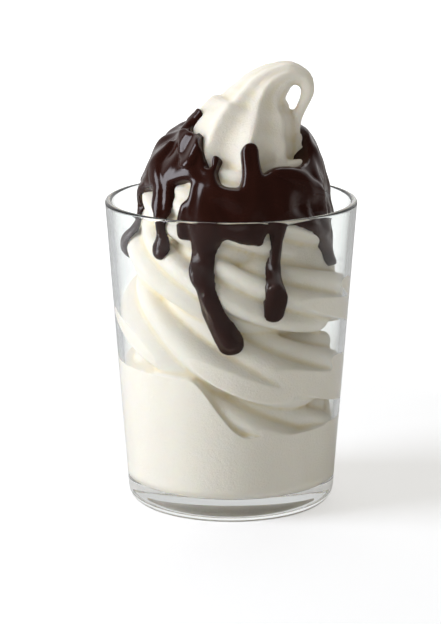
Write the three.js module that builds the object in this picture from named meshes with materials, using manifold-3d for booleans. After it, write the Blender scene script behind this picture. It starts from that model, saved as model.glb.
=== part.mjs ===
// A soft-serve ice cream sundae with chocolate sauce in a clear glass tumbler, in millimetres, +Z up.
// The origin is the centre of the glass's underside. The glass is one solid, the ice cream is one
// piped solid that fills it and rises over the rim, and the sauce is one coat that lies on the ice cream.
import * as THREE from "three";
import { mergeVertices } from "three/addons/utils/BufferGeometryUtils.js";
import Module from "manifold-3d";

const wasm = await Module();
wasm.setup();

// ---- Driving dimensions ----------------------------------------------------------------------

const GAP = 0.3; // clearance between pieces that touch

// Glass: a straight-sided tapered tumbler with a thick foot and a rounded rim.
const GLASS_HEIGHT = 104;
const RIM_RADIUS = 42.5;
const FOOT_RADIUS = 35.3; // outside, where the wall starts above the heel
const HEEL_HEIGHT = 5;
const HEEL_REACH = 3.6; // how far the heel's curve comes in
const WALL = 2.2;
const FLOOR = 8; // thickness of the foot
const FLOOR_FILLET = 3.5;
const PUNT_RADIUS = 22; // the shallow hollow under the foot
const PUNT_DEPTH = 0.8;
const GLASS_SIDES = 48;

// Rope: the piped strand, which climbs clockwise seen from above. Each list has one value a turn,
// read where the strand passes the front.
const ROPE_LEVEL = [16, 34.5, 55.5, 77, 97.5, 108.5, 132]; // height of the strand's middle
const ROPE_TILT = [4, 5, 5.75, 3, 0.8, -3, 8]; // how far each turn is higher at the left
const ROPE_SAG = [2, 3.5, 3.5, 4.5, 2, 1.3, -5]; // how far both sides are higher than front and back
const ROPE_REACH = [21, 22.6, 22.6, 23.4, 19.6, 19.2, 15]; // middle of the strand from its own axis
const ROPE_WIDEN = [0, 0, 2, 2.2, 0.1, 0.5, 0.2]; // how much further out it lies at both sides
const ROPE_SHIFT = [0, 0.5, 1.4, 2.2, -0.1, 1, 2.4]; // how far its axis lies to the right
const ROPE_RADIUS = [11.5, 12, 12.3, 12.6, 11.9, 9.9, 9.5];
const ROPE_DROOP = [0, 0.15, 0.42, 0.06, 0, 0, 0]; // share of the radius that each turn sags outwards and down
const DROOP_ANGLE = -0.6; // radians from straight outwards
const DROOP_POWER = 6; // a higher one makes the sag narrower
const ROPE_FIRST = 0.5; // turns, where the strand comes out of the pressed mass
const ROPE_LAST = 5.8; // turns, where it runs in under the peak
const ROPE_LOBES = 7;
const LOBE_DEPTH = 0.24; // of the strand's radius
const LOBE_TWIST = 5.6; // radians a turn: the ridges lean down to the right at the front
const LOBE_START = 0.5; // radians
const ROPE_SIDES = 3 * ROPE_LOBES; // two across a ridge's crown and one in the groove
const STEPS_A_TURN = 18;

const CORE = [[0, 10], [24, 10], [26, 70], [25, 84], [20.5, 96], [19.5, 106], [12, 113], [0, 113]]; // fills the coil

// Pressed mass: what fills the foot of the glass, flat against the wall.
const PRESS_TOP = 51; // the highest line where the ice cream touches the wall
const PRESS_LOW = 30.5; // the same below the open fold
const PRESS_REACH = 40; // its radius, further out than the glass that cuts it
const PRESS_SHOULDER = 6; // height of its rounded shoulder
const FOLD_ANGLE = THREE.MathUtils.degToRad(-40); // middle of the open fold, right of the front
const FOLD_EDGES = [0.29, 0.77]; // cosines of the half angles where the mass is full and is low

// Peak: the last pull of the nozzle, which leans right and curls over into a thin tail.
const PEAK_PATH = [
  [1.5, -2, 104], [2, -2.5, 115], [3.6, -1.8, 122.5], [6, -0.6, 128.6], [8.4, 0, 133.4], [9.9, 0, 137.6],
  [11.8, -0.4, 141.2], [15, -0.8, 144.2], [19.4, -1.2, 146.2], [23.9, -1.6, 144.9], [25.4, -1.9, 141.3],
  [24.7, -2.2, 138], [23.2, -2.4, 134.8], [21.8, -2.6, 131], [21.8, -2.8, 127],
];
const PEAK_RADIUS = [22.5, 22, 20.4, 18, 15.1, 11.8, 9, 6.7, 4.8, 3.2, 2.6, 2.2, 2, 1.9, 1.4];
const PEAK_LOBES = 9;
const PEAK_DEPTH = 0.18; // of the peak's radius, at the bottom of a flute
const PEAK_START = 0.46; // radians from the front to the first ridge, at the foot
const PEAK_TWIST = 0.6; // radians from the foot of the peak to its tail
const PEAK_STEPS = 26;

// Sauce: a coat over the last turns. Places on it are given by their angle in degrees (0 to the
// right, 270 at the front) and their level, which is the height up to SAUCE_KNEE and above that the
// height where the line from the spine through the place leaves a cylinder of SAUCE_SPREAD.
const SAUCE_THICKNESS = 2.5;
const SAUCE_EDGE = 1.9; // how far in from its outline the coat reaches its full thickness
const SAUCE_SINK = 0.4; // how far its skin starts inside what carries it, so that it holds
const HEM_SLOPE = 2.4; // how fast the skin dives under the ice cream outside the outline
const HEM_DEPTH = 7; // and how deep
const HEM_FALL = 0.8; // within this of the outline the skin leaves what it bridges
const BRIDGE_RISE = [1.5, 5]; // the coat fills grooves up to this deep, on the drips and on the band
const BRIDGE_LEVELS = [97, 104]; // between these levels it goes from the one to the other
const STRAND_LEAST = 2.2; // half the width of the thinnest strand, so that none breaks
const DRIP_BLEND = 2; // roundness of the corners between drips and band
const PATCH_BLEND = 2; // the same round bare patches
const EMPTY_REACH = 12; // where a line meets no ice cream, the skin stays this close to the spine
const SPINE_X = 2;
const SAUCE_KNEE = 105;
const SAUCE_SPREAD = 28;
const SAUCE_LEVELS = [54, 118, 190]; // the skin's rows lie closer together below the middle one
const SAUCE_ROWS = [26, 11];
const SAUCE_SIDES = 78;
const DRAPE_LIMIT = 44; // the coat lies on nothing further than this from the spine
const TAIL_LIMIT = 33.5; // the same for the upper rows, which leaves out the tail
const BAND_LOW = [96, 98, 99, 98, 100, 102, 108, 108.8, 113.3, 96, 100.3, 95]; // the band's edges, every 30 degrees
const BAND_HIGH = [134.5, 137, 141, 146, 150, 153, 156, 164, 128.3, 112.8, 120.4, 119.8];
const DRIPS = [
  // each runs through [angle, level, half width]
  [
    [188, 110, 3.5], [183.5, 105.5, 1.7], [180, 101, 1.3], [184, 98.2, 1.4], [190, 95.2, 2], [188.5, 91.3, 2.8],
    [185, 87.6, 2.9], [184, 85.8, 2.6],
  ],
  [
    [217.5, 109, 4.3], [218.8, 106.5, 4.1], [220.7, 104.2, 3.4], [220.8, 101, 2.4], [221.2, 96.7, 2.2],
    [223.3, 93, 3], [224.5, 91, 2.9],
  ],
  [[237.4, 105.6, 2.2], [236, 101.5, 2.5], [236.5, 97.2, 2.1]],
  [
    [245.5, 112, 4.3], [247.8, 105, 5.6], [251, 97, 5.6], [249.8, 93, 4.5], [249.5, 91, 4.1], [250, 87.5, 3.7],
    [251.5, 84, 3.5], [254, 80.5, 2.9], [255.5, 76.5, 3.3], [257, 72.5, 3.8], [260, 68.5, 4.1], [264, 64.5, 4.2],
    [266.5, 62.3, 4.2],
  ],
  [[264, 99, 2.6], [274, 98.5, 3.8], [283, 97.9, 4.1]],
  [
    [296.3, 99, 2.7], [295.6, 95, 2.3], [294.2, 90, 2.4], [292.3, 86, 2.7], [290, 82, 2.8], [290.3, 78, 3.3],
    [289.7, 74.5, 3.4], [289.2, 72.4, 3.3],
  ],
  [[338.5, 99.5, 8], [343.5, 93.5, 5.8], [348, 88.8, 3.3], [346.5, 86, 2.7]],
  [[281, 113, 4.6], [281.2, 120, 4.2], [281, 128.4, 4.3]],
  [[249.5, 116.5, 2.4], [251.4, 123.9, 3]],
  [[20, 99, 4], [22, 90, 2.4], [23, 82, 3]],
  [[62, 100, 4], [60, 94, 2.4], [59, 90, 2.8]],
  [[98, 99, 4.5], [101, 88, 2.6], [103, 76, 3.3]],
  [[140, 102, 4], [139, 93, 2.3], [141, 87, 2.9]],
];
const BARE = [
  // bare patches inside the band, in the same way
  [[263.5, 122, 4.4], [263.8, 117.6, 4.4]],
  [[245.5, 125.5, 1.4], [247.3, 121.5, 1]],
  [[288.5, 95.5, 1], [289.7, 97.2, 0.5]],
  [[222.5, 146.5, 7], [225.5, 163, 7], [230, 182, 8]],
  [[331, 124.6, 2.4], [336.5, 127.3, 2.4]],
];

// ---- Helpers ---------------------------------------------------------------------------------

const TURN = 2 * Math.PI;
const FRONT = -Math.PI / 2;
const ABOVE_ALL = 180; // a height over the whole sundae

// A smooth curve through evenly spaced values, read at position x.
function curveThrough(values, x) {
  const i = Math.max(0, Math.min(values.length - 2, Math.floor(x)));
  const at = (k) => values[Math.max(0, Math.min(values.length - 1, k))];
  const t = x - i;
  const [a, b, c, d] = [at(i - 1), at(i), at(i + 1), at(i + 2)];
  return b + 0.5 * t * (c - a + t * (2 * a - 5 * b + 4 * c - d + t * (3 * (b - c) + d - a)));
}

const smoothstep = THREE.MathUtils.smoothstep;

// The largest closed skin of a solid: inner hollows and loose scraps are left out.
function outerBody(made) {
  return made.decompose().sort((a, b) => b.volume() - a.volume())[0];
}

// A closed geometry as a solid, with its faces turned outwards.
function solid(geometry) {
  const bare = geometry.clone();
  bare.deleteAttribute("normal");
  bare.deleteAttribute("uv");
  const merged = mergeVertices(bare, 1e-4);
  const triVerts = new Uint32Array(merged.index.array);
  const vertProperties = new Float32Array(merged.attributes.position.array);
  const made = new wasm.Manifold(new wasm.Mesh({ numProp: 3, vertProperties, triVerts }));
  if (made.volume() > 0) return made;
  for (let i = 0; i < triVerts.length; i += 3) {
    [triVerts[i + 1], triVerts[i + 2]] = [triVerts[i + 2], triVerts[i + 1]];
  }
  return new wasm.Manifold(new wasm.Mesh({ numProp: 3, vertProperties, triVerts }));
}

// A solid as a geometry, for a mesh.
function geometryOf(made) {
  const mesh = made.getMesh();
  const geometry = new THREE.BufferGeometry();
  geometry.setAttribute("position", new THREE.BufferAttribute(mesh.vertProperties, 3));
  geometry.setIndex(new THREE.BufferAttribute(mesh.triVerts, 1));
  geometry.computeVertexNormals();
  return geometry;
}

// A capped cylinder whose every point is placed anew: place(along 0..1, angle, on the skin or not).
function shapedCylinder(sides, steps, place) {
  const geometry = new THREE.CylinderGeometry(1, 1, 1, sides, steps);
  const points = geometry.attributes.position;
  const point = new THREE.Vector3();
  for (let i = 0; i < points.count; i++) {
    point.fromBufferAttribute(points, i);
    const skin = Math.hypot(point.x, point.z) > 0.5;
    const placed = place(point.y + 0.5, skin ? Math.atan2(point.x, point.z) : 0, skin);
    points.setXYZ(i, placed.x, placed.y, placed.z);
  }
  return solid(geometry);
}

// A profile of [radius, height] turned round the vertical axis.
function turned(profile, sides) {
  const points = profile.map(([r, z]) => new THREE.Vector2(r, z));
  return solid(new THREE.LatheGeometry(points, sides).rotateX(Math.PI / 2));
}

// Points on a quarter of an ellipse from (r0, z0) to (r1, z1), leaving along the radius or upwards.
function quarter(r0, z0, r1, z1, leaveAlongRadius, steps) {
  const points = [];
  for (let i = 0; i <= steps; i++) {
    const a = (i / steps) * (Math.PI / 2);
    const [fast, slow] = [Math.sin(a), 1 - Math.cos(a)];
    const [u, v] = leaveAlongRadius ? [fast, slow] : [slow, fast];
    points.push([r0 + (r1 - r0) * u, z0 + (z1 - z0) * v]);
  }
  return points;
}

// ---- Glass -----------------------------------------------------------------------------------

// Outside radius of the straight wall at a height.
function wallOutside(z) {
  return FOOT_RADIUS + ((RIM_RADIUS - FOOT_RADIUS) * (z - HEEL_HEIGHT)) / (GLASS_HEIGHT - HEEL_HEIGHT);
}

const wallInside = (z) => wallOutside(z) - WALL;

function glass() {
  const rim = WALL / 2;
  const rimCentre = RIM_RADIUS - rim;
  const filletTop = FLOOR + FLOOR_FILLET;
  const outside = [
    [0, PUNT_DEPTH],
    [PUNT_RADIUS - 2, PUNT_DEPTH],
    [PUNT_RADIUS, 0],
    ...quarter(FOOT_RADIUS - HEEL_REACH, 0, FOOT_RADIUS, HEEL_HEIGHT, true, 4),
  ];
  const lip = [0, 1, 2, 3, 4].map((i) => {
    const a = (i / 4) * Math.PI;
    return [rimCentre + rim * Math.cos(a), GLASS_HEIGHT - rim + rim * Math.sin(a)];
  });
  const inside = quarter(wallInside(filletTop), filletTop, wallInside(filletTop) - FLOOR_FILLET, FLOOR, false, 3);
  return turned([...outside, ...lip, ...inside, [0, FLOOR]], GLASS_SIDES);
}

// The room that the ice cream may take: inside the glass with a clearance, and free above the rim.
function roomInGlass(clearance) {
  const floor = FLOOR + clearance;
  const fillet = floor + FLOOR_FILLET;
  const corner = quarter(wallInside(fillet) - clearance - FLOOR_FILLET, floor, wallInside(fillet) - clearance,
    fillet, true, 3);
  return turned([[0, floor], ...corner, [wallInside(ABOVE_ALL) - clearance, ABOVE_ALL], [0, ABOVE_ALL]], GLASS_SIDES);
}

// ---- Ice cream -------------------------------------------------------------------------------

// How far a fluted section swells at an angle round it, from 0 to 1: round lobes that meet in a
// sharp line at angle 0.
const swell = (angle, lobes) => Math.abs(Math.sin((lobes * angle) / 2));

// The strand's centre at a number of turns from the front, and the directions of its section.
function ropeAt(turns, grow) {
  const angle = FRONT - TURN * turns;
  const out = new THREE.Vector3(Math.cos(angle), Math.sin(angle), 0);
  const reach = curveThrough(ROPE_REACH, turns) + curveThrough(ROPE_WIDEN, turns) * out.x * out.x;
  const centre = out.clone().multiplyScalar(reach);
  centre.x += curveThrough(ROPE_SHIFT, turns);
  centre.z = curveThrough(ROPE_LEVEL, turns) - curveThrough(ROPE_TILT, turns) * out.x
    + curveThrough(ROPE_SAG, turns) * out.x * out.x;
  return { centre, out, radius: curveThrough(ROPE_RADIUS, turns) + grow };
}

// Half a turn of the strand, as one solid.
function ropePiece(from, to, grow) {
  const steps = Math.max(1, Math.round((to - from) * STEPS_A_TURN));
  return shapedCylinder(ROPE_SIDES, steps, (along, angle, skin) => {
    const turns = from + (to - from) * along;
    const { centre, out, radius } = ropeAt(turns, grow);
    if (!skin) return centre;
    const ahead = ropeAt(turns + 0.01, grow).centre.sub(ropeAt(turns - 0.01, grow).centre).normalize();
    const side = out.clone().addScaledVector(ahead, -out.dot(ahead)).normalize();
    const up = new THREE.Vector3().crossVectors(ahead, side);
    const a = angle + LOBE_START + LOBE_TWIST * turns;
    const droop = curveThrough(ROPE_DROOP, turns) * Math.pow(Math.max(0, Math.cos(a - DROOP_ANGLE)), DROOP_POWER);
    const r = radius * (1 - LOBE_DEPTH + LOBE_DEPTH * swell(angle, ROPE_LOBES) + droop);
    return centre.clone().addScaledVector(side, r * Math.cos(a)).addScaledVector(up, r * Math.sin(a));
  });
}

// What fills the foot of the glass: full height at the left and back, lower under the open fold.
function pressedMass(grow) {
  return shapedCylinder(GLASS_SIDES, 8, (along, angle, skin) => {
    const fold = smoothstep(Math.cos(angle - FOLD_ANGLE), ...FOLD_EDGES);
    const top = THREE.MathUtils.lerp(PRESS_TOP, PRESS_LOW, fold) + grow;
    const foot = top - PRESS_SHOULDER;
    const over = Math.max(0, along * 2 - 1); // share of the way over the shoulder
    const rise = Math.min(1, along * 2) * foot + over * PRESS_SHOULDER;
    const r = skin ? PRESS_REACH - 2 * PRESS_SHOULDER * Math.pow(over, 2.5) : 0;
    return new THREE.Vector3(r * Math.cos(angle), r * Math.sin(angle), rise);
  });
}

// The peak's path and radius, the tail included.
const peakCurve = new THREE.CatmullRomCurve3(PEAK_PATH.map((p) => new THREE.Vector3(...p)));

function peak(grow) {
  return shapedCylinder(PEAK_LOBES * 2, PEAK_STEPS, (along, angle, skin) => {
    const centre = peakCurve.getPoint(along);
    if (!skin) return centre;
    const ahead = peakCurve.getTangent(along);
    const side = new THREE.Vector3(0, -1, 0).addScaledVector(ahead, ahead.y).normalize();
    const up = new THREE.Vector3().crossVectors(ahead, side);
    const size = curveThrough(PEAK_RADIUS, along * (PEAK_RADIUS.length - 1)) + grow;
    const r = size * (1 - PEAK_DEPTH * swell(angle, PEAK_LOBES));
    const a = angle + PEAK_START + PEAK_TWIST * along;
    return centre.addScaledVector(side, r * Math.cos(a)).addScaledVector(up, -r * Math.sin(a));
  });
}

// The whole ice cream, optionally grown all over, kept clear of the glass.
function iceCream(grow = 0) {
  let made = pressedMass(grow).add(peak(grow)).add(turned(CORE, 16));
  for (let turns = ROPE_FIRST; turns < ROPE_LAST - 0.01; turns += 0.5) {
    made = made.add(ropePiece(turns, Math.min(turns + 0.5, ROPE_LAST), grow));
  }
  return outerBody(made.intersect(roomInGlass(GAP)));
}

// ---- Sauce -----------------------------------------------------------------------------------

// A value from a closed list, read smoothly at a share of the way round.
function curveRound(values, share) {
  const x = share * values.length;
  const i = Math.floor(x);
  const around = [-1, 0, 1, 2, 3].map((k) => values[(i + k + values.length) % values.length]);
  return curveThrough(around, 1 + x - i);
}

// How far a place lies inside a run of round-ended strokes, in mm (negative outside).
function insideStroke(stroke, degrees, level, halfWidth) {
  const perDegree = (SAUCE_SPREAD + SAUCE_THICKNESS) * (Math.PI / 180);
  let best = -Infinity;
  for (let i = 0; i + 1 < stroke.length; i++) {
    const [a, b] = [stroke[i], stroke[i + 1]];
    const [ux, uy] = [(b[0] - a[0]) * perDegree, b[1] - a[1]];
    const [px, py] = [(degrees - a[0]) * perDegree, level - a[1]];
    const t = THREE.MathUtils.clamp((px * ux + py * uy) / (ux * ux + uy * uy), 0, 1);
    best = Math.max(best, halfWidth(a[2] + (b[2] - a[2]) * t) - Math.hypot(px - ux * t, py - uy * t));
  }
  return best;
}

// The larger of two values, rounded over where they are nearly equal.
function softMax(a, b, soft) {
  const h = Math.max(0, soft - Math.abs(a - b)) / soft;
  return Math.max(a, b) + h * h * soft * 0.25;
}

// How far a place lies inside the sauce's outline, in mm.
function insideSauce(degrees, level) {
  const share = degrees / 360;
  let inside = Math.min(level - curveRound(BAND_LOW, share), curveRound(BAND_HIGH, share) - level);
  for (const drip of DRIPS) {
    inside = softMax(inside, insideStroke(drip, degrees, level, (width) => Math.max(width, STRAND_LEAST)), DRIP_BLEND);
  }
  for (const patch of BARE) {
    inside = -softMax(-inside, insideStroke(patch, degrees, level, (width) => width), PATCH_BLEND);
  }
  return inside;
}

// The coat: a skin draped over the ice cream that bridges its grooves, less the ice cream itself.
function sauce() {
  const under = iceCream(GAP);
  const target = new THREE.Mesh(geometryOf(under), new THREE.MeshBasicMaterial({ side: THREE.DoubleSide }));
  const sides = SAUCE_SIDES;
  const steps = SAUCE_ROWS[0] + SAUCE_ROWS[1];
  const caster = new THREE.Raycaster();
  const lineAt = (degrees, level) => {
    const angle = THREE.MathUtils.degToRad(degrees);
    const rise = Math.max(0, level - SAUCE_KNEE) / SAUCE_SPREAD;
    return [
      new THREE.Vector3(SPINE_X, 0, Math.min(level, SAUCE_KNEE)),
      new THREE.Vector3(Math.cos(angle), Math.sin(angle), rise).normalize(),
    ];
  };
  const levelOf = (row) => {
    const [low, middle, high] = SAUCE_LEVELS;
    const below = row / SAUCE_ROWS[0];
    return below < 1 ? low + (middle - low) * below : middle + (high - middle) * ((row - SAUCE_ROWS[0]) / SAUCE_ROWS[1]);
  };
  const reach = [];
  for (let row = 0; row <= steps; row++) {
    reach.push([]);
    for (let column = 0; column < sides; column++) {
      caster.set(...lineAt((360 * column) / sides, levelOf(row)));
      const hits = caster.intersectObject(target).filter((hit) => hit.distance < (row > SAUCE_ROWS[0] ? TAIL_LIMIT : DRAPE_LIMIT));
      reach[row].push(hits.length ? hits[hits.length - 1].distance : EMPTY_REACH);
    }
  }
  const most = (row) => THREE.MathUtils.lerp(...BRIDGE_RISE, smoothstep(levelOf(row), ...BRIDGE_LEVELS));
  const around = (field, row, column, mix) => {
    const near = [];
    for (const dr of [-1, 0, 1]) {
      for (const dc of [-1, 0, 1]) {
        near.push(field[Math.max(0, Math.min(steps, row + dr))][(column + dc + sides) % sides]);
      }
    }
    return mix(near, row);
  };
  const passed = (field, mix) => field.map((line, row) => line.map((own, column) => around(field, row, column, mix)));
  const widened = passed(reach, (near, row) => Math.min(Math.max(...near), near[4] + most(row)));
  const skin = passed(widened, (near) => near.reduce((sum, value) => sum + value, 0) / 9);
  const blob = shapedCylinder(sides, steps, (along, angle, onSkin) => {
    const row = Math.round(along * steps);
    const column = Math.round((angle / TURN) * sides + sides) % sides;
    const degrees = (360 * column) / sides;
    const [from, towards] = lineAt(degrees, levelOf(row));
    if (!onSkin) return from;
    const inside = insideSauce(degrees, levelOf(row));
    const depth = inside > 0
      ? SAUCE_THICKNESS * Math.sin(Math.min(1, inside / SAUCE_EDGE) * (Math.PI / 2))
      : Math.max(-HEM_DEPTH, HEM_SLOPE * inside);
    const bridged = skin[row][column];
    const bare = THREE.MathUtils.clamp(-inside / HEM_FALL, 0, 1);
    const base = THREE.MathUtils.lerp(bridged, Math.min(bridged, reach[row][column]), bare);
    return from.addScaledVector(towards, base - SAUCE_SINK + depth);
  });
  return outerBody(blob.subtract(under).intersect(roomInGlass(GAP)));
}

// ---- Assembly --------------------------------------------------------------------------------

const GLASS_FINISH = new THREE.MeshStandardMaterial({ color: "#dfe6ea", roughness: 0.03, metalness: 0 });
const SAUCE_FINISH = new THREE.MeshStandardMaterial({ color: "#24110b", roughness: 0.12, metalness: 0 });
const CREAM_FINISH = new THREE.MeshStandardMaterial({ color: "#f3f0e6", roughness: 0.55, metalness: 0 });

function named(name, made, material) {
  const mesh = new THREE.Mesh(geometryOf(made), material);
  mesh.name = name;
  return mesh;
}

const sundae = new THREE.Group();
sundae.add(named("glass", glass(), GLASS_FINISH));
sundae.add(named("ice_cream", iceCream(), CREAM_FINISH));
sundae.add(named("chocolate_sauce", sauce(), SAUCE_FINISH));

export default sundae;
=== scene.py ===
# A soft-serve ice cream sundae with chocolate sauce, served in a clear glass tumbler.
import math

import bmesh
import bpy
import numpy as np
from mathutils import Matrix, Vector, noise
from mathutils.bvhtree import BVHTree


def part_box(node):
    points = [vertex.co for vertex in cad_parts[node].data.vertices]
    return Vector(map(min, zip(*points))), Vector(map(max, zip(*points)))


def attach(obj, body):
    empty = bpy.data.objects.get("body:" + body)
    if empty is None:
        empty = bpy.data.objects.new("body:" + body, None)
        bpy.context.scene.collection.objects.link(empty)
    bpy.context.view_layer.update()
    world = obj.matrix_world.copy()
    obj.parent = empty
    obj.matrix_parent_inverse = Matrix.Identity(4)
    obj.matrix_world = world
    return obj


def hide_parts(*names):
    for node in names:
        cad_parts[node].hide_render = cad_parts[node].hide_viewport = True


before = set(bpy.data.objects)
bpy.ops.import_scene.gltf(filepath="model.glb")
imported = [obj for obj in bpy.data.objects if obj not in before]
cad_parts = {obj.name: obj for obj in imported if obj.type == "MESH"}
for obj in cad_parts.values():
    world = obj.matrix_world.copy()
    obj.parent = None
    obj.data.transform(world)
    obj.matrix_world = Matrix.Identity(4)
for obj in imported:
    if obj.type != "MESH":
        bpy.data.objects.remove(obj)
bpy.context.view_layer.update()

# ---- Glass tumbler ---------------------------------------------------------------------------
# A stacking tumbler of pressed soda-lime glass: a straight tapered wall, fire-polished to a round
# rim, on a thick foot with a soft heel and a shallow hollow under it. It is one piece, moulded in
# one go, so its skin is a single profile turned round the axis.

MM = 0.001
_, glass_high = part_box("glass")
GLASS_HEIGHT = glass_high.z / MM
RIM_RADIUS = glass_high.x / MM
FOOT_RADIUS = 35.3
HEEL_HEIGHT = 5.0
HEEL_REACH = 3.6
WALL = 2.2
FLOOR = 8.0
FLOOR_FILLET = 3.5
PUNT_RADIUS = 22.0
PUNT_SLOPE = 3.0
PUNT_DEPTH = 0.8
RIM_STEPS = 10
TURNED_STEPS = 144


def wall_inside(z):
    """Inner radius of the straight wall at a height, in millimetres."""
    slope = (RIM_RADIUS - FOOT_RADIUS) / (GLASS_HEIGHT - HEEL_HEIGHT)
    return FOOT_RADIUS - WALL + slope * (z - HEEL_HEIGHT)


def quarter(start, end, along_radius, steps=10):
    """Points on a quarter ellipse between two [radius, height] points."""
    points = []
    for i in range(steps + 1):
        a = i / steps * math.pi / 2
        fast, slow = math.sin(a), 1 - math.cos(a)
        u, v = (fast, slow) if along_radius else (slow, fast)
        points.append((start[0] + (end[0] - start[0]) * u, start[1] + (end[1] - start[1]) * v))
    return points


def straight(start, end, steps=24):
    """Points on a straight run, close together near its ends so that the shading stays flat."""
    points = []
    for i in range(1, steps):
        t = 0.5 - 0.5 * math.cos(i / steps * math.pi)
        points.append((start[0] + (end[0] - start[0]) * t, start[1] + (end[1] - start[1]) * t))
    return points


def glass_profile():
    """The tumbler's section from the axis under the foot, over the rim, to the axis on the floor."""
    fillet_top = FLOOR + FLOOR_FILLET
    fillet_out = wall_inside(fillet_top)
    heel = quarter((FOOT_RADIUS - HEEL_REACH, 0), (FOOT_RADIUS, HEEL_HEIGHT), True)
    rim = []
    for i in range(RIM_STEPS + 1):
        a = i / RIM_STEPS * math.pi
        rim.append((RIM_RADIUS - WALL / 2 + WALL / 2 * math.cos(a),
                    GLASS_HEIGHT - WALL / 2 + WALL / 2 * math.sin(a)))
    inner = quarter((fillet_out, fillet_top), (fillet_out - FLOOR_FILLET, FLOOR), False)
    punt = [(0, PUNT_DEPTH), (PUNT_RADIUS - PUNT_SLOPE, PUNT_DEPTH),
            (PUNT_RADIUS - PUNT_SLOPE / 2, PUNT_DEPTH / 2), (PUNT_RADIUS, 0)]
    sole = straight(punt[-1], heel[0], 6)
    floor = straight(inner[-1], (0, FLOOR), 8)
    return (punt + sole + heel + straight(heel[-1], rim[0]) + rim
            + straight(rim[-1], inner[0]) + inner + floor + [(0, FLOOR)])


def mesh_object(bm, name):
    """A bmesh in millimetres as a smooth-shaded object in metres."""
    bmesh.ops.scale(bm, vec=(MM, MM, MM), verts=bm.verts)
    mesh = bpy.data.meshes.new(name)
    bm.to_mesh(mesh)
    bm.free()
    mesh.shade_smooth()
    thing = bpy.data.objects.new(name, mesh)
    bpy.context.scene.collection.objects.link(thing)
    return thing


def blow_tumbler():
    """Turns the glass's profile round the axis."""
    bm = bmesh.new()
    points = [bm.verts.new((r, 0, z)) for r, z in glass_profile()]
    edges = [bm.edges.new(pair) for pair in zip(points, points[1:])]
    bmesh.ops.spin(bm, geom=points + edges, axis=(0, 0, 1), cent=(0, 0, 0), angle=2 * math.pi,
                   steps=TURNED_STEPS, use_merge=True)
    bmesh.ops.remove_doubles(bm, verts=bm.verts, dist=1e-4)
    bmesh.ops.recalc_face_normals(bm, faces=bm.faces)
    return mesh_object(bm, "tumbler")


def linear(colour):
    """An sRGB hex colour as linear red, green, blue and alpha."""
    channels = [int(colour[i:i + 2], 16) / 255 for i in (1, 3, 5)]
    return [c / 12.92 if c <= 0.04045 else ((c + 0.055) / 1.055) ** 2.4 for c in channels] + [1.0]


def add_node(tree, kind, settings=None, **sockets):
    """Adds a shader node, sets its properties and fills or links its inputs."""
    node = tree.nodes.new(kind)
    for key, value in (settings or {}).items():
        setattr(node, key, value)
    for key, value in sockets.items():
        socket = node.inputs[int(key[1:])] if key[0] == "_" else node.inputs[key.replace("_", " ")]
        if isinstance(value, bpy.types.NodeSocket):
            tree.links.new(value, socket)
        else:
            socket.default_value = value
    return node


def new_material(name):
    """An empty node material and its output node."""
    material = bpy.data.materials.new(name)
    material.use_nodes = True
    material.node_tree.nodes.clear()
    return material, add_node(material.node_tree, "ShaderNodeOutputMaterial")


def soda_lime_glass():
    """Clear soda-lime glass with a polished skin: sharp edges of light, and no colour of its own."""
    material, out = new_material("soda_lime_glass")
    tree = material.node_tree
    shader = add_node(tree, "ShaderNodeBsdfPrincipled", Base_Color=linear("#FBFDFC"), Roughness=0.0, IOR=1.5,
                      Transmission_Weight=1.0)
    tree.links.new(shader.outputs[0], out.inputs["Surface"])
    return material


tumbler = blow_tumbler()
tumbler.data.materials.append(soda_lime_glass())
# Light reaches the ice cream as if no glass stood round it, which keeps its folds crisp.
tumbler.visible_shadow = False
tumbler.visible_diffuse = False
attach(tumbler, "root")
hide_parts("glass")

# ---- Soft-serve ice cream --------------------------------------------------------------------
# Dairy soft serve drawn from a star nozzle as one ridged strand, which climbs clockwise seen from
# above. Its weight presses the lower turns flat against the glass, and the last pull of the nozzle
# leaves a fluted peak that leans over and ends in a thin curled tail.

# One value a turn, read where the strand passes the front.
ROPE_LEVEL = [16, 34.5, 55.5, 77, 97.5, 108.5, 132]
ROPE_TILT = [4, 5, 5.75, 3, 0.8, -3, 8]
ROPE_SAG = [2, 3.5, 3.5, 4.5, 2, 1.3, -5]
ROPE_REACH = [21, 22.6, 22.6, 23.4, 19.6, 19.2, 15]
ROPE_WIDEN = [0, 0, 2, 2.2, 0.1, 0.5, 0.2]
ROPE_SHIFT = [0, 0.5, 1.4, 2.2, -0.1, 1, 2.4]
ROPE_RADIUS = [11.5, 12, 12.3, 12.6, 11.9, 9.9, 9.5]
ROPE_DROOP = [0, 0.15, 0.42, 0.06, 0, 0, 0]
DROOP_ANGLE = -0.6
ROPE_FIRST = 0.5
ROPE_LAST = 5.8
ROPE_LOBES = 7
LOBE_DEPTH = 0.28
LOBE_TWIST = 5.6
LOBE_START = 0.5
ROPE_WANDER = 0.035
CORE = [(0, 10), (24, 10), (26, 70), (27, 84), (25, 92), (20.5, 100), (19.5, 106), (12, 113), (0, 113)]
CORE_SHIFT = 5.5
CORE_SHIFT_RISE = (70, 82)
CORE_SHIFT_FALL = (90, 98)

PRESS_TOP = 51.0
PRESS_LOW = 30.5
PRESS_FOOT = 4
PRESS_SHOULDER = 4
PRESS_RADIUS = 40
FOLD_ANGLE = math.radians(-40)
FOLD_EDGES = (0.29, 0.77)

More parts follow.
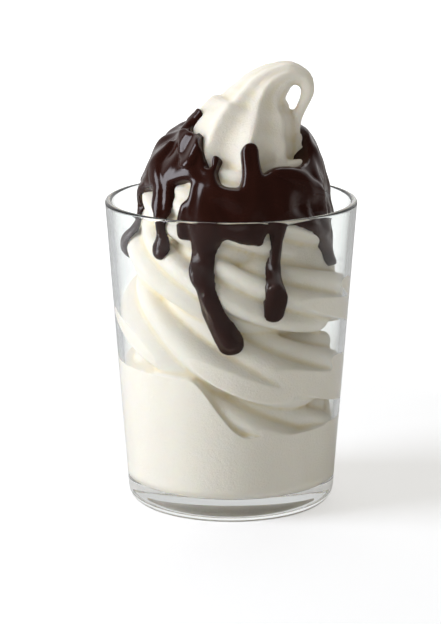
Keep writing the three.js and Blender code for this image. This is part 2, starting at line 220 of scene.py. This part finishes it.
PEAK_PATH = [
    (1.5, -2, 104), (2, -2.5, 115), (3.6, -1.8, 122.5), (6, -0.6, 128.6), (8.4, 0, 133.4),
    (9.9, 0, 137.6), (11.8, -0.4, 141.2), (15, -0.8, 144.2), (19.4, -1.2, 146.2),
    (23.9, -1.6, 144.9), (25.4, -1.9, 141.3), (24.7, -2.2, 138),
    (23.2, -2.4, 134.8), (21.8, -2.6, 131), (21.8, -2.8, 127),
]
PEAK_RADIUS = [22.5, 22, 20.4, 18, 15.1, 11.8, 9, 6.7, 4.8, 3.2, 2.6, 2.2, 2, 1.9, 1.4]
PEAK_LOBES = 9
PEAK_DEPTH = 0.15
PEAK_TWIST = 0.6
PEAK_START = 0.54

# Steps along and round each skin; the strand's are for one turn.
ROPE_GRID = (90, 96)
PEAK_GRID = (160, 112)
PRESS_GRID = (40, 160)
CORE_GRID = (70, 48)
CREAM_VOXEL = 0.8
CONTACT = 0.12
TURN = 2 * math.pi


def curve_through(values, x):
    """A smooth curve through evenly spaced values, read at position x."""
    i = max(0, min(len(values) - 2, math.floor(x)))
    a, b, c, d = (values[max(0, min(len(values) - 1, i + k))] for k in (-1, 0, 1, 2))
    t = x - i
    return b + 0.5 * t * (c - a + t * (2 * a - 5 * b + 4 * c - d + t * (3 * (b - c) + d - a)))


def smoothstep(x, low, high):
    """0 up to a low value and 1 past a high one, with a soft start and end."""
    t = max(0.0, min(1.0, (x - low) / (high - low)))
    return t * t * (3 - 2 * t)


def lobed(angle, lobes, depth):
    """Share of the section's radius: broad ridges with a narrower groove at angle 0."""
    return 1 - depth + depth * abs(math.sin(lobes * angle / 2))


def swept_skin(bm, steps, sides, place):
    """Adds a closed skin made from a grid: each point goes to place(along, angle)."""
    made = bmesh.ops.create_grid(bm, x_segments=steps, y_segments=sides, size=0.5)["verts"]
    for vert in made:
        vert.co = place(vert.co.x + 0.5, (vert.co.y + 0.5) * TURN)
    bmesh.ops.remove_doubles(bm, verts=made, dist=1e-3)
    rims = [e for e in bm.edges if e.is_boundary]
    bmesh.ops.holes_fill(bm, edges=rims)


def rope_centre(turns):
    """Middle of the strand, and the direction straight out from the axis, at a number of turns."""
    angle = -math.pi / 2 - TURN * turns
    out = Vector((math.cos(angle), math.sin(angle), 0))
    middle = out * (curve_through(ROPE_REACH, turns) + curve_through(ROPE_WIDEN, turns) * out.x ** 2)
    middle.x += curve_through(ROPE_SHIFT, turns)
    middle.z = (curve_through(ROPE_LEVEL, turns) - curve_through(ROPE_TILT, turns) * out.x
                + curve_through(ROPE_SAG, turns) * out.x ** 2)
    return middle, out


def rope_point(turns, angle):
    """A point on the strand's ridged skin."""
    middle, out = rope_centre(turns)
    ahead = (rope_centre(turns + 0.01)[0] - rope_centre(turns - 0.01)[0]).normalized()
    side = (out - ahead * out.dot(ahead)).normalized()
    up = ahead.cross(side)
    a = angle + LOBE_START + LOBE_TWIST * turns
    droop = curve_through(ROPE_DROOP, turns) * max(0, math.cos(a - DROOP_ANGLE)) ** 6
    wander = 1 + ROPE_WANDER * noise.noise(Vector((turns * 5, math.cos(angle) * 1.5, math.sin(angle) * 1.5)))
    r = curve_through(ROPE_RADIUS, turns) * (lobed(angle, ROPE_LOBES, LOBE_DEPTH) + droop) * wander
    return middle + side * r * math.cos(a) + up * r * math.sin(a)


def peak_point(along, angle):
    """A point on the fluted peak or its tail."""
    x = along * (len(PEAK_PATH) - 1)
    def centre(at):
        return Vector([curve_through([p[k] for p in PEAK_PATH], at) for k in range(3)])
    ahead = (centre(x + 0.02) - centre(x - 0.02)).normalized()
    side = (Vector((0, -1, 0)) + ahead * ahead.y).normalized()
    up = ahead.cross(side)
    a = angle + PEAK_TWIST * along
    flute = 1 - PEAK_DEPTH * abs(math.sin(PEAK_LOBES * (angle - PEAK_START) / 2))
    r = curve_through(PEAK_RADIUS, x) * flute
    return centre(x) + side * r * math.cos(a) - up * r * math.sin(a)


def pressed_point(along, angle):
    """A point on the mass that fills the foot of the glass."""
    fold = smoothstep(math.cos(angle - FOLD_ANGLE), *FOLD_EDGES)
    top = PRESS_TOP + (PRESS_LOW - PRESS_TOP) * fold
    rise = PRESS_FOOT + along * (top - PRESS_FOOT)
    inward = 2 * PRESS_SHOULDER * max(0, (rise - top + PRESS_SHOULDER) / PRESS_SHOULDER) ** 2.5
    r = PRESS_RADIUS - inward
    return Vector((r * math.cos(angle), r * math.sin(angle), rise))


def core_point(along, angle):
    """A point on the core, which closes the slots between the turns."""
    x = along * (len(CORE) - 1)
    i = min(len(CORE) - 2, int(x))
    (r0, z0), (r1, z1) = CORE[i], CORE[i + 1]
    r, z = r0 + (r1 - r0) * (x - i), z0 + (z1 - z0) * (x - i)
    r = max(r, 0.01)
    middle = CORE_SHIFT * smoothstep(z, *CORE_SHIFT_RISE) * (1 - smoothstep(z, *CORE_SHIFT_FALL))
    return Vector((middle + r * math.cos(angle), r * math.sin(angle), z))


def room_radius(z):
    """How far out the ice cream may reach at a height: just into the glass."""
    fillet_top = FLOOR + FLOOR_FILLET
    if z >= fillet_top:
        return wall_inside(z) + CONTACT
    drop = max(0.0, min(FLOOR_FILLET, fillet_top - z))
    return wall_inside(fillet_top) - FLOOR_FILLET + math.sqrt(FLOOR_FILLET ** 2 - drop ** 2) + CONTACT


def relax(bm, verts):
    """One pass that evens out some points of a mesh."""
    bmesh.ops.smooth_vert(bm, verts=verts, factor=0.5, use_axis_x=True, use_axis_y=True,
                          use_axis_z=True)


def hold_within(vert, limit):
    """Brings a point in to a radius if it lies further out."""
    r = math.hypot(vert.co.x, vert.co.y)
    if r > limit:
        vert.co.x *= limit / r
        vert.co.y *= limit / r


def pipe_ice_cream():
    """The strand, the pressed mass and the peak, run together and settled against the glass."""
    bm = bmesh.new()
    length = ROPE_LAST - ROPE_FIRST
    swept_skin(bm, int(length * ROPE_GRID[0]), ROPE_GRID[1],
               lambda along, angle: rope_point(ROPE_FIRST + length * along, angle))
    swept_skin(bm, *PEAK_GRID, peak_point)
    swept_skin(bm, *PRESS_GRID, pressed_point)
    swept_skin(bm, *CORE_GRID, core_point)
    bmesh.ops.recalc_face_normals(bm, faces=bm.faces)
    rough = mesh_object(bm, "ice_cream_rough")
    remesh = rough.modifiers.new("run_together", "REMESH")
    remesh.mode = "VOXEL"
    remesh.voxel_size = CREAM_VOXEL * MM
    shape = bpy.data.meshes.new_from_object(rough.evaluated_get(bpy.context.evaluated_depsgraph_get()))
    bpy.data.objects.remove(rough)
    bm = bmesh.new()
    bm.from_mesh(shape)
    bmesh.ops.scale(bm, vec=(1 / MM,) * 3, verts=bm.verts)
    for island in loose_parts(bm)[1:]:
        bmesh.ops.delete(bm, geom=island, context="VERTS")
    relax(bm, bm.verts)
    for vert in bm.verts:
        hold_within(vert, room_radius(vert.co.z))
        vert.co.z = max(vert.co.z, FLOOR - CONTACT)
    return mesh_object(bm, "soft_serve")


def loose_parts(bm):
    """The separate skins of a mesh as lists of points, the largest first."""
    left = set(bm.verts)
    parts = []
    while left:
        stack = [left.pop()]
        part = []
        while stack:
            vert = stack.pop()
            part.append(vert)
            for e in vert.link_edges:
                other = e.other_vert(vert)
                if other in left:
                    left.remove(other)
                    stack.append(other)
        parts.append(part)
    return sorted(parts, key=len, reverse=True)


def dairy_ice():
    """Vanilla soft serve: warm white, soft and slightly see-through, with a fine icy grain, and painted shade
    that tints its folds and creases a deeper yellow.
    """
    material, out = new_material("vanilla_soft_serve")
    tree = material.node_tree
    place = add_node(tree, "ShaderNodeTexCoord").outputs["Object"]
    grain = add_node(tree, "ShaderNodeTexNoise", Vector=place, Scale=1500.0, Detail=3.0, Roughness=0.6)
    clumps = add_node(tree, "ShaderNodeTexNoise", Vector=place, Scale=230.0, Detail=2.0)
    both = add_node(tree, "ShaderNodeMath", {"operation": "ADD"}, _0=grain.outputs["Fac"],
                    _1=clumps.outputs["Fac"])
    bump = add_node(tree, "ShaderNodeBump", Strength=1.0, Distance=0.0002, Height=both.outputs[0])
    # Painted shade: where the surface folds inward (low pointiness) the colour turns from the cream's own
    # #FCF5E8 to a deeper yellow #F0E2B8, standing in for the shade and bounced light in the creases.
    fold = add_node(tree, "ShaderNodeNewGeometry").outputs["Pointiness"]
    fold = add_node(tree, "ShaderNodeMapRange", Value=fold, From_Min=0.44, From_Max=0.5)
    colour = add_node(tree, "ShaderNodeMix", {"data_type": "RGBA"}, _0=fold.outputs[0], _6=linear("#F0E2B8"),
                      _7=linear("#FCF5E8"))
    shader = add_node(tree, "ShaderNodeBsdfPrincipled", Base_Color=colour.outputs[2], Roughness=0.5, IOR=1.35,
                      Subsurface_Weight=0.4, Subsurface_Scale=0.0012, Normal=bump.outputs[0])
    shader.inputs["Subsurface Radius"].default_value = (1.0, 0.8, 0.55)
    tree.links.new(shader.outputs[0], out.inputs["Surface"])
    return material


soft_serve = pipe_ice_cream()
soft_serve.data.materials.append(dairy_ice())
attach(soft_serve, "root")
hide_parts("ice_cream")

# ---- Chocolate sauce -------------------------------------------------------------------------
# Thick cold chocolate sauce spooned over the top turns. It sets as a coat two to three millimetres
# deep with rounded edges, bridges the grooves it crosses, and runs down in drips that end in drops.

SAUCE_THICKNESS = 2.5
SAUCE_EDGE = 2.4
DRIP_ROUND = 1.4
SAUCE_LUMPS = 0.25
SAUCE_STREAK = 5.0
SAUCE_FALL = 0.8
SPINE_X = 2.0
SAUCE_KNEE = 105.0
SAUCE_SPREAD = 28.0
SAUCE_LOW = 54.0
SAUCE_HIGH = 190.0
SAUCE_CELL = 0.5
DRAPE_LIMIT = 44.0
TAIL_LIMIT = 33.5
TAIL_LEVEL = 118.0
SAUCE_BACKING = 1.2
GLASS_CLEARANCE = 0.15
# Past this angle, in degrees, the coat hangs over a deep crease and is bridged further.
RIGHT_START = 318
RIGHT_BLEND = 12
# Levels at which the lie of the coat changes, each with the height over which it does.
CROWN_LEVEL = 108
CROWN_BLEND = 6
BRIDGE_LEVEL = 97
BRIDGE_DROP = 17
HEM_LEVEL = 105
HEM_DROP = 25
DRIP_LEVEL = 104
LIE_BLEND = 7
THIN_LEVEL = 138
THIN_BLEND = 14
# The hem dives this deep at most, and what lies deeper than the last value is cut away.
HEM_DEPTH = 7
HEM_STEEPNESS = 3
BURIED_DEPTH = 9
BAND_LOW = [96, 98, 99, 98, 100, 102, 108, 108.8, 113.3, 96, 100.3, 95]
BAND_HIGH = [134.5, 137, 141, 146, 149, 151, 155, 166, 128.3, 112.8, 120.4, 119.8]
# Each drip runs through places of (angle in degrees, level, half width).
DRIPS = [
    [(188, 110, 3.5), (183.5, 105.5, 1.7), (180, 101, 1.3), (184, 98.2, 1.4), (190, 95.2, 2),
     (189, 91.3, 2.9), (187, 87.8, 3.2), (186.5, 86.8, 2.7)],
    [(217.5, 109, 4.3), (218.8, 106.5, 4.1), (220.7, 104.2, 3.4), (220.8, 101, 2.4),
     (221.2, 96.7, 2.2), (223.3, 93, 3), (224.5, 91, 2.9)],
    [(237.4, 105.6, 2.2), (236, 101.5, 2.5), (236.5, 97.2, 2.1)],
    [(245.5, 112, 4.3), (247.8, 105, 5.6), (251, 97, 5.6), (249.8, 93, 4.5), (249.5, 91, 4.1),
     (250, 87.5, 3.7), (251.5, 84, 3.5), (254, 80.5, 2.9), (255.5, 76.5, 3.3), (257, 72.5, 3.8),
     (260, 68.5, 4.1), (264, 64.5, 4.2), (266.5, 62.3, 4.2)],
    [(264, 99, 2.6), (274, 98.5, 3.8), (283, 97.9, 4.1)],
    [(296.3, 99, 2.7), (295.6, 95, 2.3), (294.2, 90, 2.4), (292.3, 86, 2.7), (290, 82, 2.8), (290.3, 78, 3.3),
     (289.7, 74.5, 3.4), (289.2, 72.4, 3.3)],
    [(338.5, 99.5, 8), (345, 93.5, 5.2), (349.5, 88.8, 3.7), (349, 85.6, 3)],
    [(281, 113, 4.6), (281.2, 120, 4.2), (281, 128.4, 4.3)],
    [(249.5, 116.5, 2.4), (251.4, 123.9, 3)],
    [(20, 99, 4), (22, 90, 2.4), (23, 82, 3)],
    [(62, 100, 4), (60, 94, 2.4), (59, 90, 2.8)],
    [(98, 99, 4.5), (101, 88, 2.6), (103, 76, 3.3)],
    [(140, 102, 4), (139, 93, 2.3), (141, 87, 2.9)],
]
# Later pours that lie on the coat.
POURS = [
    [(211, 135, 3), (217, 134, 6), (227, 129.5, 7), (231, 122, 4)],
    [(197, 128, 2), (203, 117, 3), (214, 109, 3), (219, 102, 2)],
    [(300, 118, 2.5), (318, 114, 3.2), (330, 107, 3.2), (338, 98, 4)],
    [(255, 78, 1.4), (258.5, 71.5, 2.4), (263, 66.5, 3), (265.8, 63.5, 3.2)],
    [(291.5, 90, 1), (290.3, 80, 1.6), (289.7, 74.5, 2)],
]
POUR_HEIGHT = 1.3
BARE = [
    [(263.5, 122, 4.4), (263.8, 117.6, 4.4)],
    [(245.5, 125.5, 1.4), (247.3, 121.5, 1)],
    [(288.5, 95.5, 1), (289.7, 97.2, 0.5)],
    [(223, 146.5, 7), (226.5, 163, 7), (232, 182, 8)],
    [(331, 124.6, 2.4), (336.5, 127.3, 2.4)],
]


def inside_stroke(stroke, degrees, level):
    """How far places lie inside a run of round-ended strokes, in millimetres."""
    per_degree = (SAUCE_SPREAD + SAUCE_THICKNESS) * math.pi / 180
    best = np.full(level.shape, -1e3)
    for (a0, l0, w0), (a1, l1, w1) in zip(stroke, stroke[1:]):
        ux, uy = (a1 - a0) * per_degree, l1 - l0
        px, py = (degrees - a0) * per_degree, level - l0
        t = np.clip((px * ux + py * uy) / (ux * ux + uy * uy), 0, 1)
        best = np.maximum(best, w0 + (w1 - w0) * t - np.hypot(px - ux * t, py - uy * t))
    return best


def soft_max(a, b, soft):
    """The larger of two values, rounded over where they are nearly equal."""
    h = np.maximum(0, soft - np.abs(a - b)) / soft
    return np.maximum(a, b) + h * h * soft * 0.25


def curve_round(values, degrees):
    """A closed list of values read smoothly at angles in degrees."""
    x = degrees / 360 * len(values)
    i = np.floor(x).astype(int)
    t = x - i
    a, b, c, d = (np.array(values, float)[(i + k) % len(values)] for k in (-1, 0, 1, 2))
    return b + 0.5 * t * (c - a + t * (2 * a - 5 * b + 4 * c - d + t * (3 * (b - c) + d - a)))


def inside_sauce(degrees, level):
    """How far places lie inside the sauce's outline, in millimetres."""
    inside = np.minimum(level - curve_round(BAND_LOW, degrees), curve_round(BAND_HIGH, degrees) - level)
    for drip in DRIPS:
        inside = soft_max(inside, inside_stroke(drip, degrees, level), 2)
    for patch in BARE:
        inside = -soft_max(-inside, inside_stroke(patch, degrees, level), 2)
    return inside


def blurred(field, passes):
    """A field on the drape's grid, evened out; it closes on itself round the spine."""
    for _ in range(passes):
        field = (np.roll(field, 1, 1) + 2 * field + np.roll(field, -1, 1)) / 4
        padded = np.vstack([field[:1], field, field[-1:]])
        field = (padded[:-2] + 2 * field + padded[2:]) / 4
    return field


def widened(field, cells, most):
    """Each place raised to the highest near it, but by no more than a stated amount."""
    top = field.copy()
    for _ in range(cells):
        padded = np.vstack([top[:1], top, top[-1:]])
        top = np.maximum.reduce([top, padded[:-2], padded[2:], np.roll(top, 1, 1), np.roll(top, -1, 1)])
    return np.minimum(top, field + most)


def streaks(degrees, level):
    """Slow unevenness that runs with the flow, from about -1 to 1."""
    field = np.zeros(level.shape)
    for row in range(level.shape[0]):
        for column in range(level.shape[1]):
            a = math.radians(degrees[row, column])
            around = SAUCE_SPREAD / SAUCE_STREAK
            field[row, column] = noise.noise(Vector((math.cos(a) * around, math.sin(a) * around,
                                                     level[row, column] / SAUCE_STREAK / 2.5)))
    return 2 * field


def ramp(place, start, span, lowered=0.0):
    """0 to 1 over a span from a start, which may be lowered."""
    return np.clip((place - start + lowered) / span, 0, 1)


def drape_lines(cream):
    """How far the ice cream reaches along a grid of lines from the spine, bare and bridged over."""
    skin = bmesh.new()
    skin.from_mesh(cream.data)
    tree = BVHTree.FromBMesh(skin)
    skin.free()
    rows = int((SAUCE_HIGH - SAUCE_LOW) / SAUCE_CELL)
    columns = int(TURN * (SAUCE_SPREAD + SAUCE_THICKNESS) / SAUCE_CELL)
    levels = SAUCE_LOW + (SAUCE_HIGH - SAUCE_LOW) * np.arange(rows + 1) / rows
    angles = 360 * np.arange(columns) / columns
    degrees, level = np.meshgrid(angles, levels)
    reach = np.zeros(level.shape)
    lines = {}
    for row in range(rows + 1):
        limit = TAIL_LIMIT if levels[row] > TAIL_LEVEL else DRAPE_LIMIT
        origin = Vector((SPINE_X, 0, min(levels[row], SAUCE_KNEE)))
        rise = max(0, levels[row] - SAUCE_KNEE) / SAUCE_SPREAD
        for column in range(columns):
            a = math.radians(angles[column])
            towards = Vector((math.cos(a), math.sin(a), rise)).normalized()
            hit = tree.ray_cast((origin + towards * limit) * MM, -towards, limit * MM)
            reach[row, column] = limit - hit[3] / MM if hit[0] else 12.0
            lines[row, column] = (origin, towards)
    right = ramp(degrees, RIGHT_START, RIGHT_BLEND)
    crown = ramp(level, CROWN_LEVEL, CROWN_BLEND)
    bridged = blurred(widened(reach, 5, 5 + 6 * right), 25)
    bridged += (blurred(bridged, 60) - bridged) * crown
    followed = blurred(widened(reach, 4, 3.5), 16)
    high = ramp(level, BRIDGE_LEVEL, LIE_BLEND, BRIDGE_DROP * right)
    smooth = np.maximum(followed + (bridged - followed) * high, blurred(reach, 4)) - 0.4
    smooth += (blurred(smooth, 16) - smooth) * crown
    return degrees, level, reach, smooth, lines


def drape_sauce(cream):
    """The coat: a skin on a grid of lines from the spine, laid over the ice cream."""
    degrees, level, reach, smooth, lines = drape_lines(cream)
    rows, columns = level.shape[0] - 1, level.shape[1]
    inside = inside_sauce(degrees, level)
    edge = SAUCE_EDGE + DRIP_ROUND * np.clip((DRIP_LEVEL - level) / LIE_BLEND, 0, 1)
    share = np.clip(inside / edge, 0, 1)
    runs = streaks(degrees, level)
    thick = SAUCE_THICKNESS * (1 + SAUCE_LUMPS * runs * np.clip(inside / 5, 0, 1))
    thick *= 1 - 0.5 * ramp(level, THIN_LEVEL, THIN_BLEND)
    for pour in POURS:
        laid = np.clip(inside_stroke(pour, degrees, level) / 3, 0, 1)
        thick += POUR_HEIGHT * np.sqrt(1 - (1 - laid) ** 2)
    depth = np.where(inside > 0, thick * np.sqrt(1 - (1 - share) ** 2),
                     np.maximum(-HEM_DEPTH, HEM_STEEPNESS * inside))
    right = ramp(degrees, RIGHT_START, RIGHT_BLEND)
    high = ramp(level, HEM_LEVEL, LIE_BLEND, HEM_DROP * right)
    bare = np.clip(-inside / SAUCE_FALL, 0, 1) * high
    outer = smooth + (np.minimum(smooth, blurred(reach, 1)) - smooth) * bare + depth
    bm = bmesh.new()
    grid = bmesh.ops.create_grid(bm, x_segments=columns, y_segments=rows, size=0.5)["verts"]
    keep = (inside > -0.5 - 2.5 * high) & (outer > reach - BURIED_DEPTH)
    buried = []
    for vert in grid:
        column = round((vert.co.x + 0.5) * columns) % columns
        row = round((vert.co.y + 0.5) * rows)
        origin, towards = lines[row, column]
        vert.co = origin + towards * outer[row, column]
        if vert.co.z < GLASS_HEIGHT:
            hold_within(vert, wall_inside(vert.co.z) - GLASS_CLEARANCE)
        if not keep[row, column]:
            buried.append(vert)
    bmesh.ops.delete(bm, geom=buried, context="VERTS")
    bmesh.ops.remove_doubles(bm, verts=bm.verts, dist=1e-3)
    for part in loose_parts(bm)[1:]:
        bmesh.ops.delete(bm, geom=part, context="VERTS")
    for _ in range(8):
        relax(bm, [v for v in bm.verts if v.is_boundary])
    relax(bm, bm.verts)
    bmesh.ops.recalc_face_normals(bm, faces=bm.faces)
    bmesh.ops.solidify(bm, geom=bm.faces[:], thickness=SAUCE_BACKING)
    bmesh.ops.recalc_face_normals(bm, faces=bm.faces)
    return mesh_object(bm, "chocolate_coat")


def chocolate_sauce():
    """Cocoa, sugar and water: nearly black brown, opaque, with a wet syrup gloss."""
    material, out = new_material("chocolate_syrup")
    tree = material.node_tree
    place = add_node(tree, "ShaderNodeTexCoord").outputs["Object"]
    flow = add_node(tree, "ShaderNodeTexNoise", Vector=place, Scale=90.0, Detail=1.0)
    bump = add_node(tree, "ShaderNodeBump", Strength=0.15, Distance=0.0004, Height=flow.outputs["Fac"])
    shader = add_node(tree, "ShaderNodeBsdfPrincipled", Base_Color=linear("#2A120C"),
                      Roughness=0.17, IOR=1.45, Normal=bump.outputs[0])
    tree.links.new(shader.outputs[0], out.inputs["Surface"])
    return material


coat = drape_sauce(soft_serve)
coat.data.materials.append(chocolate_sauce())
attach(coat, "root")
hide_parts("chocolate_sauce")

# ---- Studio ----------------------------------------------------------------------------------
# A white sweep under a white sky. A large soft box at the left lights it, with a weaker one behind,
# a low strip that draws a line of light on the sauce, and a spot on the peak. The camera stands a
# little above the rim and looks down at the sundae.

FLOOR_GLOW = 0.45
# Painted reflection: the floor's grey where glass and sauce mirror it, in front of the glass.
FLOOR_MIRRORED = "#686868"
SKY_FILL = 0.2
SKY_TINT = "#FFF6E4"
ROOM_DARK = 0.04
ROOM_LIGHT = 0.9
ROOM_EDGE = 0.45
ROOM_GLASS = 0.68
# Painted light: a faint glow on the floor under the foot, seen only mirrored in the glass, which lightens the
# foot.
UNDER_GLOW = 0.03
CAMERA_PLACE = (0, -0.85, 0.2688)
CAMERA_LENS = 148.1
CAMERA_DOWN = 13.517
CAMERA_TURN = 0.242


def light_paths(tree):
    """Masks for light seen straight, mirrored, mirrored in glass, and scattered."""
    path = add_node(tree, "ShaderNodeLightPath")
    mirrored = add_node(tree, "ShaderNodeMath", {"operation": "GREATER_THAN"},
                        _0=path.outputs["Glossy Depth"], _1=0.5)
    refracted = add_node(tree, "ShaderNodeMath", {"operation": "COMPARE"},
                         _0=path.outputs["Transmission Depth"], _1=1.5, _2=1.0)
    scattered = add_node(tree, "ShaderNodeMath", {"operation": "GREATER_THAN"},
                         _0=path.outputs["Diffuse Depth"], _1=0.5)
    both = add_node(tree, "ShaderNodeMath", {"operation": "MAXIMUM"}, _0=mirrored.outputs[0],
                    _1=scattered.outputs[0])
    straight = add_node(tree, "ShaderNodeMath", {"operation": "SUBTRACT"}, _0=1.0,
                        _1=both.outputs[0])
    return [mask.outputs[0] for mask in (straight, mirrored, refracted, scattered)]


def white_sweep():
    """A matt white floor that reads as plain white where no shadow falls; seen straight or through glass it
    glows white, more strongly further out. Where it is seen mirrored it carries a painted reflection: grey in
    front of the glass, with a faint painted glow under the foot.
    """
    bm = bmesh.new()
    bmesh.ops.create_grid(bm, x_segments=1, y_segments=1, size=6000)
    floor = mesh_object(bm, "floor")
    material, out = new_material("white_sweep")
    tree = material.node_tree
    straight, mirrored, _, _ = light_paths(tree)
    spot = add_node(tree, "ShaderNodeTexCoord").outputs["Object"]
    away = add_node(tree, "ShaderNodeVectorMath", {"operation": "LENGTH"}, _0=spot).outputs["Value"]
    shine = add_node(tree, "ShaderNodeMapRange", Value=away, From_Min=0.15, From_Max=0.7,
                     To_Min=FLOOR_GLOW, To_Max=1.1)
    glow = add_node(tree, "ShaderNodeMath", {"operation": "MULTIPLY"}, _0=straight,
                    _1=shine.outputs[0])
    # Painted light: under the foot the floor glows in mirrored rays only, lightening the reflections in the
    # glass foot.
    under = add_node(tree, "ShaderNodeMapRange", Value=away, From_Min=0.036, From_Max=0.044,
                     To_Min=UNDER_GLOW, To_Max=0.0)
    under = add_node(tree, "ShaderNodeMath", {"operation": "MULTIPLY"}, _0=mirrored,
                     _1=under.outputs[0])
    glow = add_node(tree, "ShaderNodeMath", {"operation": "MAXIMUM"}, _0=glow.outputs[0],
                    _1=under.outputs[0])
    # Painted reflection: in front of the glass the floor turns grey in mirrored rays only, which draws dark
    # bars in the glass foot and keeps the sauce's reflections dark.
    place = add_node(tree, "ShaderNodeSeparateXYZ", _0=spot)
    dark = add_node(tree, "ShaderNodeMapRange", Value=place.outputs["Y"], From_Min=0.0, From_Max=-0.07)
    dark = add_node(tree, "ShaderNodeMath", {"operation": "MULTIPLY"}, _0=dark.outputs[0], _1=mirrored)
    colour = add_node(tree, "ShaderNodeMix", {"data_type": "RGBA"}, _0=dark.outputs[0], _6=linear("#F0F2F4"),
                      _7=linear(FLOOR_MIRRORED))
    shader = add_node(tree, "ShaderNodeBsdfPrincipled", Base_Color=colour.outputs[2], Roughness=0.9,
                      Emission_Color=linear("#FFFFFF"), Emission_Strength=glow.outputs[0])
    tree.links.new(shader.outputs[0], out.inputs["Surface"])
    floor.data.materials.append(material)


def white_sky():
    """White where it is seen, directly or through glass; a dim room where it lights or is mirrored."""
    world = bpy.data.worlds.new("sky")
    world.use_nodes = True
    bpy.context.scene.world = world
    tree = world.node_tree
    tree.nodes.clear()
    out = add_node(tree, "ShaderNodeOutputWorld")
    straight, _, refracted, scattered = light_paths(tree)
    way = add_node(tree, "ShaderNodeTexCoord").outputs["Generated"]
    way = add_node(tree, "ShaderNodeSeparateXYZ", _0=way)
    room = add_node(tree, "ShaderNodeMapRange", Value=way.outputs["Y"], From_Min=0.1, From_Max=0.9,
                    To_Min=ROOM_DARK, To_Max=ROOM_LIGHT)
    inner = add_node(tree, "ShaderNodeMapRange", Value=way.outputs["Y"], From_Min=-0.8, From_Max=0.2,
                     To_Min=ROOM_EDGE, To_Max=ROOM_GLASS)
    seen = add_node(tree, "ShaderNodeMix", {"data_type": "FLOAT"}, _0=refracted,
                    _2=room.outputs[0], _3=inner.outputs[0])
    fill = add_node(tree, "ShaderNodeMix", {"data_type": "FLOAT"}, _0=scattered,
                    _2=seen.outputs[0], _3=SKY_FILL)
    strength = add_node(tree, "ShaderNodeMix", {"data_type": "FLOAT"}, _0=straight,
                        _2=fill.outputs[0], _3=1.0)
    tint = add_node(tree, "ShaderNodeMix", {"data_type": "RGBA"}, _0=scattered,
                    _6=linear("#FFFFFF"), _7=linear(SKY_TINT))
    sky = add_node(tree, "ShaderNodeBackground", Color=tint.outputs[2], Strength=strength.outputs[0])
    tree.links.new(sky.outputs[0], out.inputs["Surface"])


def soft_box(name, place, aim, size, watts, colour):
    """A soft box of a width and height that faces a point."""
    data = bpy.data.lights.new(name, "AREA")
    data.color = linear(colour)[:3]
    data.shape = "RECTANGLE"
    data.size, data.size_y = size
    data.energy = watts
    lamp = bpy.data.objects.new(name, data)
    lamp.location = place
    lamp.rotation_euler = (Vector(aim) - Vector(place)).to_track_quat("-Z", "Y").to_euler()
    bpy.context.scene.collection.objects.link(lamp)


def spot(name, place, aim, cone, watts):
    """A spot with a soft edge that picks out one place."""
    data = bpy.data.lights.new(name, "SPOT")
    data.energy = watts
    data.spot_size = math.radians(cone)
    data.spot_blend = 1.0
    data.shadow_soft_size = 0.08
    lamp = bpy.data.objects.new(name, data)
    lamp.visible_glossy = False
    lamp.location = place
    lamp.rotation_euler = (Vector(aim) - Vector(place)).to_track_quat("-Z", "Y").to_euler()
    bpy.context.scene.collection.objects.link(lamp)


def look_at_sundae():
    """A long lens in front of the sundae, a little above it."""
    data = bpy.data.cameras.new("camera")
    data.sensor_fit = "VERTICAL"
    data.sensor_height = 36.0
    data.sensor_width = 36.0
    data.lens = CAMERA_LENS
    camera = bpy.data.objects.new("camera", data)
    camera.location = CAMERA_PLACE
    camera.rotation_euler = (math.radians(90 - CAMERA_DOWN), 0, math.radians(CAMERA_TURN))
    bpy.context.scene.collection.objects.link(camera)
    bpy.context.scene.camera = camera


white_sweep()
white_sky()
MIDDLE = (0, 0, 0.08)
soft_box("key", (-0.97, -0.24, 0.6), MIDDLE, size=(0.6, 0.75), watts=9.2, colour="#F4F6FF")
soft_box("top", (0.1, 0.5, 0.9), MIDDLE, size=(0.6, 0.6), watts=1.5, colour="#FFFFFF")
soft_box("strip", (-0.85, -0.25, 0.12), MIDDLE, size=(0.12, 0.3), watts=1.0, colour="#FFFFFF")
spot("peak", (-0.65, -0.6, 0.5), aim=(0, 0, 0.138), cone=8, watts=14)
look_at_sundae()
bpy.context.scene.view_settings.view_transform = "Standard"
# Light turns many times inside the rim and the foot, and a low limit would leave them black.
bpy.context.scene.cycles.max_bounces = 20
bpy.context.scene.cycles.glossy_bounces = 13
bpy.context.scene.cycles.transmission_bounces = 16
